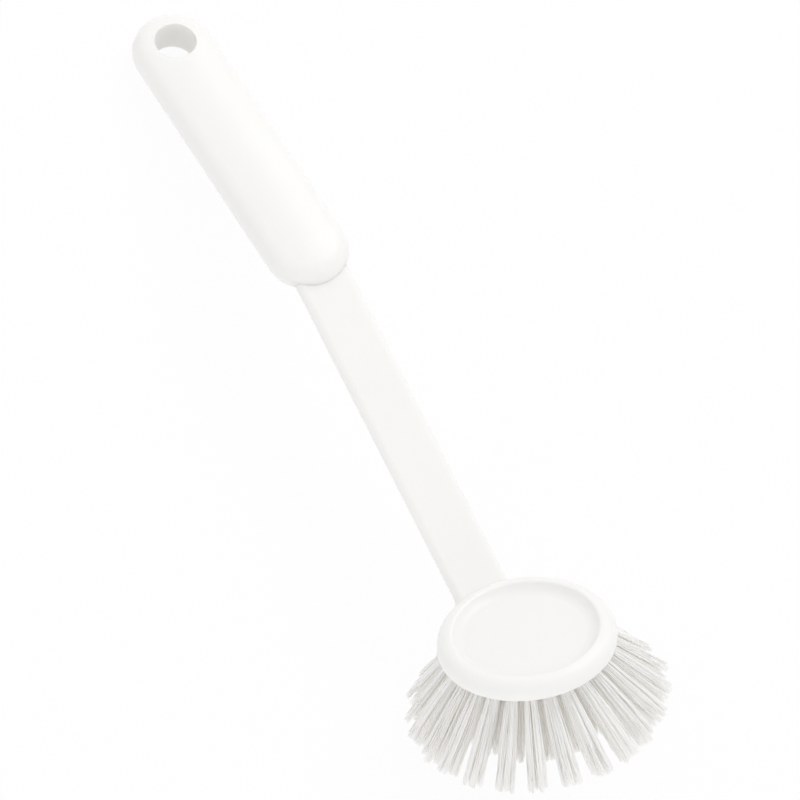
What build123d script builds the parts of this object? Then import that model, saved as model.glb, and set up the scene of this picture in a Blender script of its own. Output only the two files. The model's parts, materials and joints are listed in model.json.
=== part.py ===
from build123d import *

from math import acos, atan2, cos, degrees, hypot, pi, radians, sin, sqrt
import os

# A dish brush: a round head with a dished top on a straight flat neck, a thick round-ended grip
# moulded over the neck's tang, and tufts of filament held by staples in blind holes under the head.
# Lengths are in millimetres and angles in degrees.
# Every piece is drawn in the head's frame: the origin is the centre of the circle along the top of
# the rim, +Z is the head's axis and +X points to the grip. The finished pieces are then tipped back
# together, so that the brush lies as on a table, on its rear bristles and the end of its grip.

# Head: a disc with a dished top, a round rim and an underside that falls from the rim to a flat middle
head_diameter = 60.0
rim_radius = 4.9
rim_height = 6.0
crest_chamfer_width = 0.5
crest_chamfer_depth = 0.25
dish_depth = 2.8
dish_foot_radius = 4.9
underside_depth = 12.0

# Neck: a straight flat bar with rounded edges that rises from the head's side and enters the grip
# low down. Its length runs from the head's side to where its axis meets the grip's.
neck_rise = 41.4
neck_height_at_rim = -2.5
neck_length = 123.7
neck_width = 19.6
neck_thickness = 5.4
neck_edge_share = 0.9
neck_flare_radius = 5.5

# Tang: the flat bar on the neck's end that the grip is moulded over, keyed by windows through it
tang_width = 13.0
tang_thickness = 4.2
tang_length = 68.0
key_window_length = 12.0
key_window_width = 5.0
key_window_count = 2

# Grip: a four-arc oval bar with round ends and a hang hole
grip_rise = 23.6
grip_length = 120.4
grip_before_neck_axis = 8.6
grip_width = 29.2
grip_thickness = 14.8
grip_edge_share = 0.865
hang_hole_diameter = 14.5
moulding_clearance = 0.05

# Tufts: bundles in rings round the head's axis; each ring out holds one more first ring's count
ring_names = ("inner", "middle", "outer")
ring_splay_angles = (16.0, 30.0, 41.0)
outer_ring_margin = 8.25
first_ring_tuft_count = 8
hole_diameter = 3.6
hole_depth = 4.5
hole_sides = 6
plug_clearance = 0.05
bristle_reach = 34.8
ragged_length = 2.2
strand_counts = (6, 6, 7)
circle_strand_count = 6
strand_sides = 3
strand_corner_diameter = 0.96
strand_root_depth = 0.4
strand_circle_diameter = 2.3
tip_circle_diameter = 5.6
flattened_tip = 0.5

# Staples: a flat anchor near the bottom of each hole, with the folded filaments round it
fold_thickness = 0.7
anchor_width = 2.8
anchor_height = 1.6
anchor_thickness = 0.45

# How far a cutting shape runs past the face that it opens
overrun = 2.0

# Step between the length shares of one strand and the next, which never fall into a pattern
golden_share = (sqrt(5) - 1) / 2

head_radius = head_diameter / 2
crest_radius = head_radius - rim_radius
dish_wall_slope = degrees(acos(1 - (dish_depth - crest_chamfer_depth) / dish_foot_radius))
dish_wall_run = dish_foot_radius * sin(radians(dish_wall_slope))
dish_floor_radius = crest_radius - crest_chamfer_width - dish_wall_run
neck_edge_radius = neck_edge_share * neck_thickness / 2
grip_edge_radius = grip_edge_share * grip_thickness / 2
ring_spacing = (head_radius - outer_ring_margin) / len(ring_names)
underside_flat_radius = ring_spacing * 3 / 2
underside_slope = (underside_depth - rim_height) / (head_radius - underside_flat_radius)


def along(rise, distance=1.0):
    """Vector of a given length in the symmetry plane that rises from +X by an angle."""
    return Vector(distance * cos(radians(rise)), 0, distance * sin(radians(rise)))


def above(rise, distance=1.0):
    """Vector of a given length in the symmetry plane, square to that one and on its upper side."""
    return Vector(-distance * sin(radians(rise)), 0, distance * cos(radians(rise)))


def across(origin, rise):
    """Plane across a bar that rises from +X, with x across the brush and y to the bar's top."""
    return Plane(origin=origin, x_dir=(0, -1, 0), z_dir=along(rise))


neck_foot = Vector(head_radius, 0, neck_height_at_rim)
axes_meet = neck_foot + along(neck_rise, neck_length)
grip_foot = axes_meet - along(grip_rise, grip_before_neck_axis)
grip_middle = grip_foot + along(grip_rise, grip_length / 2)
hang_hole_centre = grip_foot + along(grip_rise, grip_length - grip_width / 2)
grip_normal = above(grip_rise)


def crown_radius(width, thickness, edge_radius):
    """Radius of the two long arcs of a four-arc oval."""
    reach = width / 2 - edge_radius
    return (reach**2 + (thickness / 2) ** 2 - edge_radius**2) / (thickness - 2 * edge_radius)


def oval_corner(width, thickness, edge_radius):
    """Point where a long arc of the oval runs into a side arc, with the same tangent."""
    reach = width / 2 - edge_radius
    drop = crown_radius(width, thickness, edge_radius) - thickness / 2
    between_centres = hypot(reach, drop)
    return reach + edge_radius * reach / between_centres, edge_radius * drop / between_centres


def oval(width, thickness, edge_radius):
    """Face inside a four-arc oval."""
    x, y = oval_corner(width, thickness, edge_radius)
    top = ThreePointArc((-x, y), (0, thickness / 2), (x, y))
    right = ThreePointArc((x, y), (width / 2, 0), (x, -y))
    bottom = ThreePointArc((x, -y), (0, -thickness / 2), (-x, -y))
    left = ThreePointArc((-x, -y), (-width / 2, 0), (-x, y))
    return make_face([top, right, bottom, left])


def half_oval(width, thickness, edge_radius):
    """The half of the same face on the side of +x."""
    x, y = oval_corner(width, thickness, edge_radius)
    top = TangentArc((0, thickness / 2), (x, y), tangent=(1, 0))
    side = ThreePointArc((x, y), (width / 2, 0), (x, -y))
    bottom = TangentArc((0, -thickness / 2), (x, -y), tangent=(1, 0))
    middle = Line((0, -thickness / 2), (0, thickness / 2))
    return make_face([top, side, bottom, middle])


def turned(outline):
    """Solid of an outline turned round the head's axis, its seam on the side away from the neck."""
    return Rot(0, 0, 180) * revolve(Plane.XZ * make_face(outline), axis=Axis.Z)


def head_blank(bottom):
    """The head's dished top, rim and side, carried straight down to a given height."""
    floor_centre = (0, -dish_depth)
    foot_centre = (dish_floor_radius, dish_foot_radius - dish_depth)
    foot_bend = CenterArc(foot_centre, dish_foot_radius, 270, dish_wall_slope)
    rim_bend = CenterArc((crest_radius, -rim_radius), rim_radius, 0, 90)
    return turned(
        [
            Line(floor_centre, foot_bend @ 0),
            foot_bend,
            Line(foot_bend @ 1, rim_bend @ 1),
            rim_bend,
            Line(rim_bend @ 0, (head_radius, bottom)),
            Line((head_radius, bottom), (0, bottom)),
            Line((0, bottom), floor_centre),
        ]
    )


def below_underside(bottom, radius):
    """Everything under the head's underside, out to a given radius and down to a given height."""
    centre = (0, -underside_depth)
    flat_edge = (underside_flat_radius, -underside_depth)
    rim_foot = (head_radius, -rim_height)
    return turned(
        [
            Line(centre, flat_edge),
            Line(flat_edge, rim_foot),
            Line(rim_foot, (radius, -rim_height)),
            Line((radius, -rim_height), (radius, bottom)),
            Line((radius, bottom), (0, bottom)),
            Line((0, bottom), centre),
        ]
    )


def neck():
    """The neck as far as the grip's axis; at its root two hollow curves run into the head's sides."""
    across_centre = neck_width / 2 + neck_flare_radius
    reach = head_radius + neck_flare_radius * cos(radians(neck_rise))
    out_centre = sqrt(reach**2 - across_centre**2)
    along_centre = (out_centre - head_radius) / cos(radians(neck_rise))
    turn = degrees(atan2(out_centre, across_centre * cos(radians(neck_rise))))
    flare = CenterArc((along_centre, across_centre), neck_flare_radius, 270 - turn, turn)
    side = Line(flare @ 1, (neck_length, neck_width / 2))
    other_flare = mirror(flare, about=Plane.XZ)
    other_side = mirror(side, about=Plane.XZ)
    ends = [Line(flare @ 0, other_flare @ 0), Line(side @ 1, other_side @ 1)]
    outline = make_face([flare, side, other_flare, other_side] + ends)
    bar = extrude(outline, amount=neck_thickness / 2, both=True)
    long_edges = bar.edges().filter_by(Axis.Y, reverse=True).filter_by(Axis.Z, reverse=True)
    lying_along_neck = Plane(origin=neck_foot, x_dir=along(neck_rise), z_dir=above(neck_rise))
    return lying_along_neck * fillet(long_edges, neck_edge_radius)


def neck_pocket():
    """The room that the neck takes up in the grip, with the clearance all round."""
    grow = 2 * moulding_clearance
    radius = neck_edge_radius + moulding_clearance
    section = RectangleRounded(neck_width + grow, neck_thickness + grow, radius)
    return extrude(across(neck_foot, neck_rise) * section, amount=neck_length + moulding_clearance)


def tang(clearance=0.0):
    """The keyed bar on the neck's end; a clearance makes it fatter and its windows smaller."""
    grow = 2 * clearance
    section = Rectangle(tang_width + grow, tang_thickness + grow)
    start = axes_meet - along(grip_rise, tang_thickness / 2)
    bar = extrude(across(start, grip_rise) * section, amount=tang_thickness / 2 + tang_length + clearance)
    window = Box(key_window_length - grow, key_window_width - grow, tang_thickness + grow + overrun)
    for key in range(key_window_count):
        centre = axes_meet + along(grip_rise, tang_length * (key + 1) / (key_window_count + 1))
        bar -= Plane(origin=centre, x_dir=along(grip_rise), z_dir=grip_normal) * window
    return bar


def underside_height(radius):
    """Height of the underside at a distance from the head's axis."""
    return max(radius - underside_flat_radius, 0) * underside_slope - underside_depth


def ring_tufts(ring):
    """Number of tufts in a ring."""
    return first_ring_tuft_count * (ring + 1)


every_tuft = [(ring, index) for ring in range(len(ring_names)) for index in range(ring_tufts(ring))]


def mouth(ring, index):
    """Plane at the mouth of a tuft's hole, with its z direction pointing out of the hole."""
    radius = ring_spacing * (ring + 1)
    turn = 2 * pi * index / ring_tufts(ring)
    splay = radians(ring_splay_angles[ring])
    outwards = Vector(cos(turn), sin(turn), 0)
    return Plane(
        origin=outwards * radius + Vector(0, 0, underside_height(radius)),
        x_dir=(-sin(turn), cos(turn), 0),
        z_dir=outwards * sin(splay) - Vector(0, 0, cos(splay)),
    )


def head_and_neck():
    """The main moulding: head, neck and tang in one piece, with a blind hole for each tuft."""
    bottom = -underside_depth - neck_thickness
    solid = head_blank(bottom) + neck()
    solid -= below_underside(bottom - overrun, head_radius + neck_thickness)
    solid += tang()
    section = RegularPolygon(hole_diameter / 2, hole_sides)
    hole = Pos(0, 0, -hole_depth) * extrude(section, amount=hole_depth + overrun)
    return solid - [mouth(ring, index) * hole for ring, index in every_tuft]


def grip():
    """The second moulding: a round-ended bar, hollow only where the neck and tang fill it."""
    sizes = (grip_width, grip_thickness, grip_edge_radius)
    start = grip_foot + along(grip_rise, grip_width / 2)
    bar = extrude(across(start, grip_rise) * oval(*sizes), amount=grip_length - grip_width)
    far_end = revolve(
        across(hang_hole_centre, grip_rise) * half_oval(*sizes),
        axis=Axis(hang_hole_centre, grip_normal),
        revolution_arc=180,
    )
    near_end = mirror(far_end, about=Plane(origin=grip_middle, z_dir=along(grip_rise)))
    hang_hole = Cylinder(hang_hole_diameter / 2, grip_thickness + overrun)
    solid = bar + [far_end, near_end] - Plane(origin=hang_hole_centre, z_dir=grip_normal) * hang_hole
    return solid - neck_pocket() - tang(moulding_clearance)


def anchor(clearance=0.0):
    """A staple, seen from its hole's mouth; with a clearance, the slot that it lies in."""
    height = anchor_height + 2 * clearance
    centre = plug_clearance + fold_thickness + anchor_height / 2 - hole_depth
    return Pos(0, 0, centre) * Box(anchor_width + 2 * clearance, anchor_thickness + 2 * clearance, height)


def strand_lines(ring, index):
    """Start, tip and turn of each strand of a tuft, seen from its hole's mouth."""
    depth = bristle_reach + underside_height(ring_spacing * (ring + 1))
    full_length = depth / cos(radians(ring_splay_angles[ring]))
    lines = []
    for strand in range(strand_counts[ring]):
        number = strand + strand_counts[ring] * (index + ring * ring_tufts(ring))
        length = full_length - ragged_length * (number * golden_share % 1)
        turn = 2 * pi * strand / circle_strand_count
        spoke = Vector(cos(turn), sin(turn), 0) if strand < circle_strand_count else Vector(0, 0, 0)
        start = spoke * (strand_circle_diameter / 2) - Vector(0, 0, strand_root_depth)
        lines.append((start, spoke * (tip_circle_diameter / 2) + Vector(0, 0, length), degrees(turn)))
    return lines


def tuft(ring, index):
    """Filaments packed into their hole round the staple, and the strands that fan out of it."""
    plug = RegularPolygon(hole_diameter / 2 - plug_clearance, hole_sides)
    root = extrude(plug, amount=plug_clearance - hole_depth) - anchor(plug_clearance)
    strands = []
    for start, tip, turn in strand_lines(ring, index):
        section = Pos(start) * Rot(0, 0, turn) * RegularPolygon(strand_corner_diameter / 2, strand_sides)
        strands.append(extrude(section, amount=(tip - start).length, dir=tip - start))
    return mouth(ring, index) * (root + strands)


def lowest_bristle(lean):
    """Height of the lowest tip in the outer ring when the brush is tipped back by an angle."""
    up = above(lean)
    ring = len(ring_names) - 1
    return min(
        mouth(ring, index).from_local_coords(tip).dot(up) - strand_corner_diameter / 2
        for index in range(ring_tufts(ring))
        for start, tip, turn in strand_lines(ring, index)
    )


def lowest_grip(lean):
    """Height of the grip's lowest point near its end when the brush is tipped back by an angle."""
    up = above(lean)
    long_radius = crown_radius(grip_width, grip_thickness, grip_edge_radius)
    reach = grip_width / 2 - grip_edge_radius
    on_long_arc = sin(radians(lean - grip_rise)) < reach / (long_radius - grip_edge_radius)
    if on_long_arc:
        return (hang_hole_centre + grip_normal * (long_radius - grip_thickness / 2)).dot(up) - long_radius
    return (hang_hole_centre + along(grip_rise, reach)).dot(up) - grip_edge_radius


def resting_lean():
    """Angle at which the flattened rear bristles and the grip's end are equally low."""
    low, high = 0.0, 90.0
    while high - low > 1e-6:
        lean = (low + high) / 2
        if lowest_grip(lean) > lowest_bristle(lean) + flattened_tip:
            low = lean
        else:
            high = lean
    return low


lean = resting_lean()
lying = Pos(0, 0, -lowest_grip(lean)) * Rot(0, lean, 0)

nodes = {"head_and_neck": lying * head_and_neck(), "grip": lying * grip()}
for ring, index in every_tuft:
    lying_tuft = lying * tuft(ring, index)
    nodes[f"{ring_names[ring]}_tuft_{index + 1:02d}"] = split(lying_tuft, bisect_by=Plane.XY, keep=Keep.TOP)
for ring, name in enumerate(ring_names):
    anchors = [mouth(ring, index) * anchor() for index in range(ring_tufts(ring))]
    nodes[f"{name}_anchors"] = lying * Compound(children=anchors)

# The origin is on the table, under the middle of the brush's length
box = Compound([solid for node in nodes.values() for solid in node.solids()]).bounding_box()
centred = Pos(-(box.min.X + box.max.X) / 2, 0, 0)

os.makedirs("parts", exist_ok=True)
for name, node in nodes.items():
    export_step(centred * node, f"parts/{name}.step")
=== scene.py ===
import json
import math
import random

import bpy
from mathutils import Matrix, Vector


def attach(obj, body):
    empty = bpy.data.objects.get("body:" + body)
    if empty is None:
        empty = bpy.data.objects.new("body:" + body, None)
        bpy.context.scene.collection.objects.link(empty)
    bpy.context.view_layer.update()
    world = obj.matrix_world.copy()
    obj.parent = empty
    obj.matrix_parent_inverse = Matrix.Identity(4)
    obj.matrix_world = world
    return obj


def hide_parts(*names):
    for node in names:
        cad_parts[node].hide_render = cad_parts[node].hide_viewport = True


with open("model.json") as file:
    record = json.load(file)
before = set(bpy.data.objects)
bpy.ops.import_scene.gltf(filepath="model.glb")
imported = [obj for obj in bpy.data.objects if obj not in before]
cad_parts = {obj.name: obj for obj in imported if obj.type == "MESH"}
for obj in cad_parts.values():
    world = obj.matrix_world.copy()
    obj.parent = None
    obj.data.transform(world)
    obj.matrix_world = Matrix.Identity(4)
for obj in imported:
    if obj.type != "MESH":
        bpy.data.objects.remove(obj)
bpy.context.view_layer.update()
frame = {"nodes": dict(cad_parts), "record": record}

# Head and neck: one injection moulding in white polypropylene, a dished disc on a flat neck.
# The mould was lightly grained, so the skin has a soft gloss with a faint orange peel, and the melt
# left cloudy streaks in the white that only show against another white.
MILLIMETRE = 0.001
head_white = "#F8F7F5"
head_streak_white = "#F5F4F2"
streak_width = 28 * MILLIMETRE
streak_detail = 3.0
peel_size = 1.1 * MILLIMETRE
peel_depth = 0.012 * MILLIMETRE
peel_detail = 2.0
rubbed_patch_size = 9 * MILLIMETRE
rubbed_patch_detail = 4.0
head_roughness_range = (0.30, 0.40)
polypropylene_ior = 1.49
scatter_share = 0.4
scatter_depth = 1.8 * MILLIMETRE
scatter_tint_shares = (1.0, 0.95, 0.9)


def to_linear(hex_colour):
    """Linear RGBA of an sRGB hex colour."""
    channels = [int(hex_colour[start : start + 2], 16) / 255 for start in (1, 3, 5)]
    return [c / 12.92 if c <= 0.04045 else ((c + 0.055) / 1.055) ** 2.4 for c in channels] + [1.0]


def add_node(material, kind, feeds=None, **settings):
    """Adds a node to a material, and feeds its inputs with values or with other nodes' outputs."""
    node = material.node_tree.nodes.new("ShaderNode" + kind)
    for name, value in settings.items():
        setattr(node, name, value)
    for socket, value in (feeds or {}).items():
        if isinstance(value, bpy.types.NodeSocket):
            material.node_tree.links.new(value, node.inputs[socket])
        else:
            node.inputs[socket].default_value = value
    return node


def blank_material(name):
    """A material with no nodes in it yet."""
    material = bpy.data.materials.new(name)
    material.use_nodes = True
    material.node_tree.nodes.clear()
    return material


def moulded_polypropylene(name, white, streak_white, roughness_range, peel):
    """White moulded polypropylene: streaks in the pigment, rubbed patches and an orange-peel skin."""
    material = blank_material(name)
    place = add_node(material, "TexCoord").outputs["Object"]
    streaks = add_node(
        material, "TexNoise", {"Vector": place, "Scale": 1 / streak_width, "Detail": streak_detail}
    )
    whites = add_node(
        material,
        "Mix",
        {"Factor": streaks.outputs["Fac"], "A": to_linear(streak_white), "B": to_linear(white)},
        data_type="RGBA",
    )
    patches = add_node(
        material, "TexNoise", {"Vector": place, "Scale": 1 / rubbed_patch_size, "Detail": rubbed_patch_detail}
    )
    roughness = add_node(
        material,
        "MapRange",
        {"Value": patches.outputs["Fac"], "To Min": roughness_range[0], "To Max": roughness_range[1]},
    )
    grain = add_node(material, "TexNoise", {"Vector": place, "Scale": 1 / peel_size, "Detail": peel_detail})
    skin = add_node(material, "Bump", {"Height": grain.outputs["Fac"], "Strength": 1.0, "Distance": peel})
    plastic = add_node(
        material,
        "BsdfPrincipled",
        {
            "Base Color": whites.outputs["Result"],
            "Roughness": roughness.outputs["Result"],
            "Normal": skin.outputs["Normal"],
            "IOR": polypropylene_ior,
            "Subsurface Weight": scatter_share,
            "Subsurface Radius": scatter_tint_shares,
            "Subsurface Scale": scatter_depth,
        },
    )
    add_node(material, "OutputMaterial", {"Surface": plastic.outputs["BSDF"]})
    return material


def dress(node, material):
    """Gives a CAD piece its material."""
    for slot in frame["nodes"][node].material_slots:
        slot.link = "OBJECT"
        slot.material = material


head_material = moulded_polypropylene(
    "moulded_polypropylene_head", head_white, head_streak_white, head_roughness_range, peel_depth
)
dress("head_and_neck", head_material)

# Staples: flat galvanised wire, cut off the coil by the tufting machine and driven into each hole.
# Drawing leaves fine lines along the wire, and the zinc is a dull pale grey. They stay out of sight
# under the filaments.
zinc_grey = "#B9B8B4"
drawn_line_pitch = 0.12 * MILLIMETRE
drawn_line_detail = 2.0
zinc_roughness_range = (0.30, 0.48)


def galvanised_wire(name):
    """Dull zinc on drawn wire, with lines along its length."""
    material = blank_material(name)
    place = add_node(material, "TexCoord").outputs["Object"]
    lines = add_node(
        material, "TexNoise", {"Vector": place, "Scale": 1 / drawn_line_pitch, "Detail": drawn_line_detail}
    )
    roughness = add_node(
        material,
        "MapRange",
        {
            "Value": lines.outputs["Fac"],
            "To Min": zinc_roughness_range[0],
            "To Max": zinc_roughness_range[1],
        },
    )
    zinc = add_node(
        material,
        "BsdfPrincipled",
        {
            "Base Color": to_linear(zinc_grey),
            "Metallic": 1.0,
            "Roughness": roughness.outputs["Result"],
        },
    )
    add_node(material, "OutputMaterial", {"Surface": zinc.outputs["BSDF"]})
    return material


staple_material = galvanised_wire("galvanised_drawn_wire")
for ring_name in ("inner", "middle", "outer"):
    dress(f"{ring_name}_anchors", staple_material)

# Tufts: bundles of white polyester filament, folded in half over the staples in three rings of
# holes, splayed outwards and then trimmed. Each filament is a thin round rod with a blunt cut end;
# the bundles are tight at the holes and part into small locks towards their ragged ends. The sizes
# down to bristle_reach are the part's own, by which each tuft finds its hole. A ring has its number
# of tufts and their splay.
neck_rise = math.radians(41.4)
grip_rise = math.radians(23.6)
head_radius = 30.0 * MILLIMETRE
neck_height_at_rim = -2.5 * MILLIMETRE
neck_length = 123.7 * MILLIMETRE
grip_before_neck_axis = 8.6 * MILLIMETRE
grip_length = 120.4 * MILLIMETRE
grip_width = 29.2 * MILLIMETRE
ring_spacing = 7.25 * MILLIMETRE
rings = {"inner": (8, math.radians(16)), "middle": (16, math.radians(30)), "outer": (24, math.radians(41))}
underside_depth = 12.0 * MILLIMETRE
underside_flat_radius = 1.5 * ring_spacing
rim_height = 6.0 * MILLIMETRE
bristle_reach = 34.8 * MILLIMETRE
filament_radius = 0.12 * MILLIMETRE
filaments_in_tuft = 210
bundle_radius_at_hole = 1.62 * MILLIMETRE
bundle_radius_at_tip = 3.5 * MILLIMETRE
depth_in_hole = 1.2 * MILLIMETRE
locks_in_tuft = 8
lock_turn_spread_share = 0.3
lock_reach_shares = (0.62, 0.86)
lock_gather = 0.42
lock_gather_shares = (0.5, 1.3)
lock_loss_share = 0.6
trimmed_off = 0.7 * MILLIMETRE
ragged_length = 3.0 * MILLIMETRE
short_filament_share = 0.22
short_filament_loss = 4.5 * MILLIMETRE
opening_out = 0.65
wave_height = 0.5 * MILLIMETRE
tuft_lean_spread = math.radians(2.2)
pressed_turn = math.radians(40)
pressed_in = math.radians(5)
pressed_spread = 0.9 * MILLIMETRE
golden_angle = math.pi * (3 - math.sqrt(5))
filament_white = "#FFFFFF"
filament_shade_white = "#FEFDFB"
filament_roughness = 0.38
polyester_ior = 1.57
filament_gloss = 0.0
filament_scatter_share = 0.6
filament_scatter_depth = 0.2 * MILLIMETRE
filament_scatter_tint_shares = (1.0, 0.97, 0.92)
smooth_edge_angle = math.radians(65)
filament_steps = (0.0, 0.15, 0.4, 0.7, 1.0)


def along(rise, distance):
    """Vector in the brush's symmetry plane that rises from +X by an angle."""
    return Vector((distance * math.cos(rise), 0, distance * math.sin(rise)))


def head_place():
    """Where the head's own frame lies: its origin is in the middle of the rim's crest, +Z its axis."""
    hang_hole = next(mount for mount in frame["record"]["mounts"] if mount["name"] == "hang_hole")
    lean = grip_rise + math.atan2(hang_hole["axis"][0], hang_hole["axis"][2])
    hole_in_head = (
        Vector((head_radius, 0, neck_height_at_rim))
        + along(neck_rise, neck_length)
        + along(grip_rise, grip_length - grip_before_neck_axis - grip_width / 2)
    )
    turn = Matrix.Rotation(lean, 4, "Y")
    return Matrix.Translation(Vector(hang_hole["pos_m"]) - turn @ hole_in_head) @ turn


def underside_height(radius):
    """Height of the head's underside at a distance from its axis."""
    slope = (underside_depth - rim_height) / (head_radius - underside_flat_radius)
    return max(radius - underside_flat_radius, 0) * slope - underside_depth


def tuft_mouth(ring_number, splay, turn):
    """Where a tuft leaves its hole, with +Z pointing out of the hole."""
    radius = ring_spacing * ring_number
    place = Matrix.Translation((radius, 0, underside_height(radius)))
    return Matrix.Rotation(turn, 4, "Z") @ place @ Matrix.Rotation(math.pi - splay, 4, "Y")


def tuft_filaments(length, tip_reach, chance):
    """Points of every filament of one tuft, seen from its hole's mouth."""
    lock_tips = []
    for lock in range(locks_in_tuft):
        drift = chance.uniform(-lock_turn_spread_share, lock_turn_spread_share)
        angle = math.tau * (lock + drift) / (locks_in_tuft - 1)
        reach = tip_reach * chance.uniform(*lock_reach_shares) if lock < locks_in_tuft - 1 else 0
        lock_tips.append((Vector((math.cos(angle), math.sin(angle), 0)) * reach, chance.uniform(0, 1)))
    paths = []
    for number in range(filaments_in_tuft):
        root_reach = bundle_radius_at_hole * math.sqrt((number + 0.5) / filaments_in_tuft)
        angle = number * golden_angle
        root = Vector((math.cos(angle), math.sin(angle), 0)) * root_reach
        spread_tip = root * (tip_reach / bundle_radius_at_hole)
        lock_tip, lock_loss = min(lock_tips, key=lambda lock: (lock[0] - spread_tip).length)
        tip = spread_tip.lerp(lock_tip, lock_gather * chance.uniform(*lock_gather_shares))
        loss = ragged_length * (lock_loss_share * lock_loss + (1 - lock_loss_share) * chance.random())
        if chance.random() < short_filament_share:
            loss += short_filament_loss * chance.random()
        wave_angle = chance.uniform(0, math.tau)
        wave = Vector((math.cos(wave_angle), math.sin(wave_angle), 0)) * wave_height * chance.random()
        path = [root - Vector((0, 0, depth_in_hole))]
        for step in filament_steps:
            side = root.lerp(tip, step**opening_out) + wave * math.sin(math.pi * step)
            path.append(side + Vector((0, 0, (length - loss) * step)))
        paths.append(path)
    return paths


def filament_tuft(name, place, length, tip_reach, chance):
    """One tuft as a mesh of round filaments, standing on the table where it would pass through it."""
    curve = bpy.data.curves.new(name, "CURVE")
    curve.dimensions = "3D"
    curve.bevel_depth = filament_radius
    curve.bevel_resolution = 1
    curve.use_fill_caps = True
    for path in tuft_filaments(length, tip_reach, chance):
        spline = curve.splines.new("POLY")
        spline.points.add(len(path) - 1)
        for point, position in zip(spline.points, path):
            lying = place @ position
            lying.z = max(lying.z, filament_radius)
            point.co = (*lying, 1.0)
    bpy.ops.object.select_all(action="DESELECT")
    tuft = bpy.data.objects.new(name, curve)
    bpy.context.scene.collection.objects.link(tuft)
    tuft.select_set(True)
    bpy.context.view_layer.objects.active = tuft
    bpy.ops.object.convert(target="MESH")
    tuft = bpy.context.view_layer.objects.active
    bpy.ops.object.shade_smooth_by_angle(angle=smooth_edge_angle)
    points_of_one = len(tuft.data.vertices) // filaments_in_tuft
    tone = tuft.data.attributes.new("filament_tone", "FLOAT", "POINT")
    tones = [chance.random() for number in range(filaments_in_tuft)]
    tone.data.foreach_set("value", [tones[i // points_of_one] for i in range(len(tuft.data.vertices))])
    return tuft


def polyester_filament(name):
    """White polyester monofilament, extruded matt: no shine, and a little light goes through it, so that
    a bundle looks like one soft white mass. Each filament is a little whiter or greyer than the next."""
    material = blank_material(name)
    tone = add_node(material, "Attribute", attribute_name="filament_tone")
    whites = add_node(
        material,
        "Mix",
        {"Factor": tone.outputs["Fac"], "A": to_linear(filament_shade_white), "B": to_linear(filament_white)},
        data_type="RGBA",
    )
    filament = add_node(
        material,
        "BsdfPrincipled",
        {
            "Base Color": whites.outputs["Result"],
            "Roughness": filament_roughness,
            "IOR": polyester_ior,
            "Specular IOR Level": filament_gloss,
            "Subsurface Weight": filament_scatter_share,
            "Subsurface Radius": filament_scatter_tint_shares,
            "Subsurface Scale": filament_scatter_depth,
        },
    )
    add_node(material, "OutputMaterial", {"Surface": filament.outputs["BSDF"]})
    return material


filament_material = polyester_filament("extruded_polyester_filament")
head_frame = head_place()
for ring_number, (ring_name, (tuft_count, splay)) in enumerate(rings.items(), start=1):
    depth = bristle_reach + underside_height(ring_spacing * ring_number)
    for index in range(tuft_count):
        chance = random.Random(f"{ring_name} {index}")
        turn = math.tau * index / tuft_count
        pressed = math.cos(turn - pressed_turn)
        leaning = splay - pressed_in * max(pressed, 0) + chance.uniform(-tuft_lean_spread, tuft_lean_spread)
        place = head_frame @ tuft_mouth(ring_number, leaning, turn)
        tip_reach = bundle_radius_at_tip + pressed_spread * abs(pressed)
        node = f"{ring_name}_tuft_{index + 1:02d}"
        piece = f"{ring_name}_filaments_{index + 1:02d}"
        length = depth / math.cos(splay) - trimmed_off
        tuft = filament_tuft(piece, place, length, tip_reach, chance)
        tuft.data.materials.append(filament_material)
        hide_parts(node)
        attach(tuft, "root")

# Grip: a second moulding over the neck's tang, a thick bar with a hang hole, in the same white
# polypropylene. It is handled more, so it is a little glossier than the head.
grip_white = "#F8F7F5"
grip_streak_white = "#F5F4F2"
grip_roughness_range = (0.26, 0.36)

grip_material = moulded_polypropylene(
    "moulded_polypropylene_grip", grip_white, grip_streak_white, grip_roughness_range, peel_depth
)
dress("grip", grip_material)

# Table: the plain white sheet that the brush lies on, which shows a faint shadow. It is clear from
# below, so that the bristles and the underside of the disc can be looked at.
table_half_width = 3.0
table_white = "#F8F8F8"
table_glow_share = 0.92


def seen_as_white(material):
    """1 where the camera, a reflection or a view through glass meets the material, and 0 for light."""
    path = add_node(material, "LightPath")
    seen = add_node(
        material,
        "Math",
        {0: path.outputs["Is Camera Ray"], 1: path.outputs["Is Glossy Ray"]},
        operation="MAXIMUM",
    )
    return add_node(
        material,
        "Math",
        {0: seen.outputs["Value"], 1: path.outputs["Is Transmission Ray"]},
        operation="MAXIMUM",
    ).outputs["Value"]


bpy.ops.object.select_all(action="DESELECT")
bpy.ops.mesh.primitive_plane_add(size=2 * table_half_width, location=(0, 0, 0))
table = bpy.context.active_object
table.name = "table"
table_material = blank_material("matt_white_card")
card = add_node(table_material, "BsdfDiffuse", {"Color": to_linear(table_white)})
glow = add_node(table_material, "Emission", {"Color": (1, 1, 1, 1), "Strength": 1.0})
glow_share = add_node(
    table_material, "Math", {0: seen_as_white(table_material), 1: table_glow_share}, operation="MULTIPLY"
)
surface = add_node(
    table_material,
    "MixShader",
    {0: glow_share.outputs["Value"], 1: card.outputs["BSDF"], 2: glow.outputs["Emission"]},
)
side = add_node(table_material, "NewGeometry")
clear = add_node(table_material, "BsdfTransparent")
sheet = add_node(
    table_material,
    "MixShader",
    {0: side.outputs["Backfacing"], 1: surface.outputs["Shader"], 2: clear.outputs["BSDF"]},
)
add_node(table_material, "OutputMaterial", {"Surface": sheet.outputs["Shader"]})
table.data.materials.append(table_material)

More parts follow.
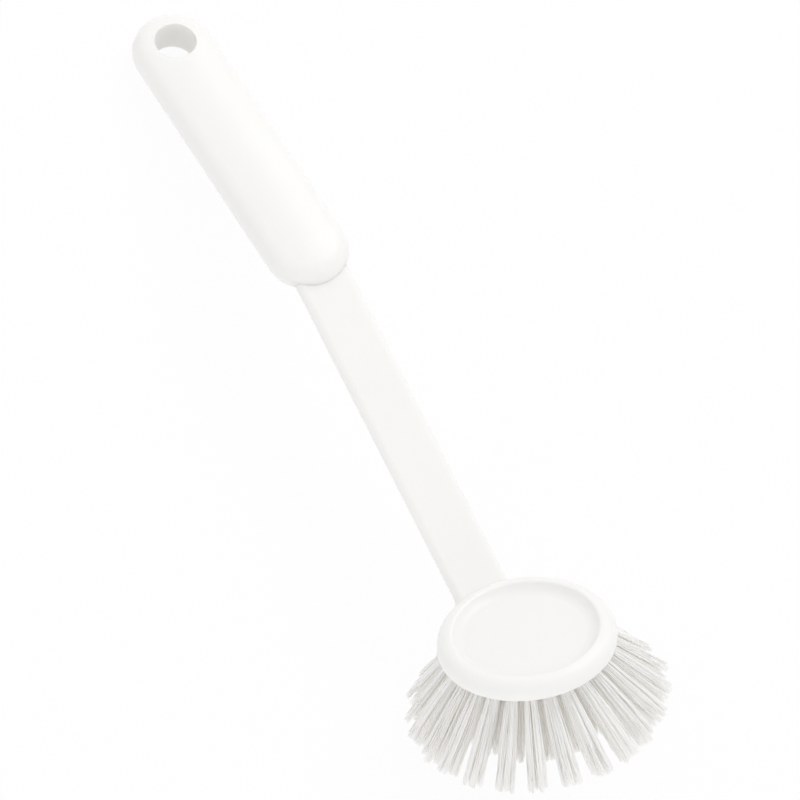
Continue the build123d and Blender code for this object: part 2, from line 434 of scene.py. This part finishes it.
# Light: a white tent all round, a broad lamp from beyond the head's right side and a low one in
# front of the bristles. A lamp has its power in watts, its height over the table and its bearing, both
# in degrees. Light goes through white filaments many times before it is lost, so it is followed for
# many turns.
tent_strength = 0.87
lamp_width = 0.9
lamp_distance = 1.6
lamps = {"side_lamp": (4.9, 44, -50), "front_lamp": (2.8, 9, 148)}
light_turns = 64

tent = bpy.data.worlds.new("white_tent")
tent.use_nodes = True
tent.node_tree.nodes.clear()
shown = seen_as_white(tent)
tent_light = add_node(tent, "Background", {"Color": (1, 1, 1, 1), "Strength": tent_strength})
tent_seen = add_node(tent, "Background", {"Color": (1, 1, 1, 1), "Strength": 1.0})
both = add_node(
    tent, "MixShader", {0: shown, 1: tent_light.outputs["Background"], 2: tent_seen.outputs["Background"]}
)
add_node(tent, "OutputWorld", {"Surface": both.outputs["Shader"]})
bpy.context.scene.world = tent

for name, (power, height_angle, bearing) in lamps.items():
    lamp_data = bpy.data.lights.new(name, "AREA")
    lamp_data.size = lamp_width
    lamp_data.energy = power
    lamp = bpy.data.objects.new(name, lamp_data)
    lamp.matrix_world = (
        Matrix.Rotation(math.radians(bearing), 4, "Z")
        @ Matrix.Rotation(math.radians(90 - height_angle), 4, "Y")
        @ Matrix.Translation((0, 0, lamp_distance))
    )
    lamp.visible_camera = False
    bpy.context.scene.collection.objects.link(lamp)
cycles = bpy.context.scene.cycles
cycles.max_bounces = cycles.diffuse_bounces = cycles.glossy_bounces = light_turns

# Camera: a long lens nearly above the brush, turned so that the grip points up and to the left
# and the disc comes to the lower right, as in the photograph.
camera_bearing = math.radians(-154.712)
camera_tilt = math.radians(22.306)
camera_roll = math.radians(39.015)
camera_aim = Vector((-6.53, -6.98, 30.0)) * MILLIMETRE
camera_distance = 1975.88 * MILLIMETRE
camera_lens = 263.72
camera_sensor = 36
camera_sight = 20

camera_data = bpy.data.cameras.new("camera")
camera_data.lens = camera_lens
camera_data.sensor_width = camera_sensor
camera_data.clip_end = camera_sight
camera = bpy.data.objects.new("camera", camera_data)
camera_turn = (
    Matrix.Rotation(camera_bearing, 4, "Z")
    @ Matrix.Rotation(camera_tilt, 4, "X")
    @ Matrix.Rotation(camera_roll, 4, "Z")
)
camera_stand_off = Matrix.Translation((0, 0, camera_distance))
camera.matrix_world = Matrix.Translation(camera_aim) @ camera_turn @ camera_stand_off
bpy.context.scene.collection.objects.link(camera)
bpy.context.scene.camera = camera
bpy.context.scene.view_settings.view_transform = "Standard"
